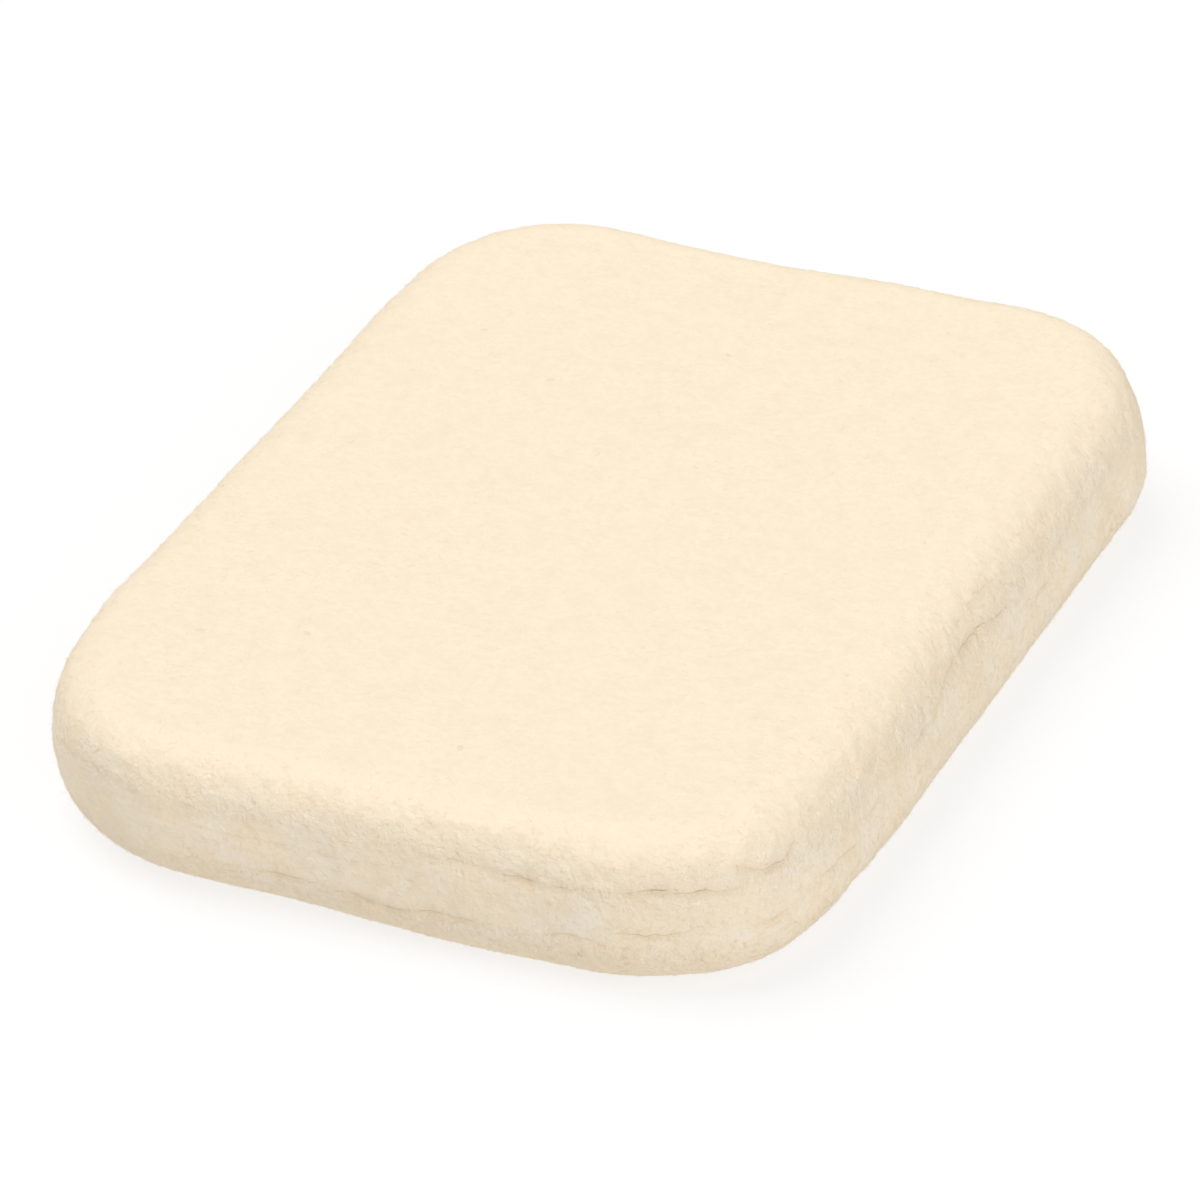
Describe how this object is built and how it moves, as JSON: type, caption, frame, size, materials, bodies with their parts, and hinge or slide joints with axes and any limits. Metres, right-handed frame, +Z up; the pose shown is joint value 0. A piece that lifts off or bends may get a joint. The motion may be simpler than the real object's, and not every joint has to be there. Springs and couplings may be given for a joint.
{
  "type": "needle felting mat",
  "caption": "Thick rounded pad of needled wool plies that backs a piece of felting work and takes the point of the felting needle.",
  "frame": {"origin": "middle of the flat face that the mat rests on", "axes": "+X across the short side, +Y along the long side, +Z up through the plies to the work face"},
  "size_m": [0.127, 0.178, 0.0254],
  "materials": {
    "face_felt": "fine needled wool, cream",
    "core_batt": "coarser needled wool batt, cream, with fibres showing along the edge"
  },
  "bodies": {
    "root": {"bottom_face_ply": "face_felt", "bottom_backing_ply": "core_batt", "lower_core_ply": "core_batt", "lower_middle_ply": "core_batt", "upper_middle_ply": "core_batt", "upper_core_ply": "core_batt", "top_backing_ply": "core_batt", "top_face_ply": "face_felt"}
  },
  "joints": []
}
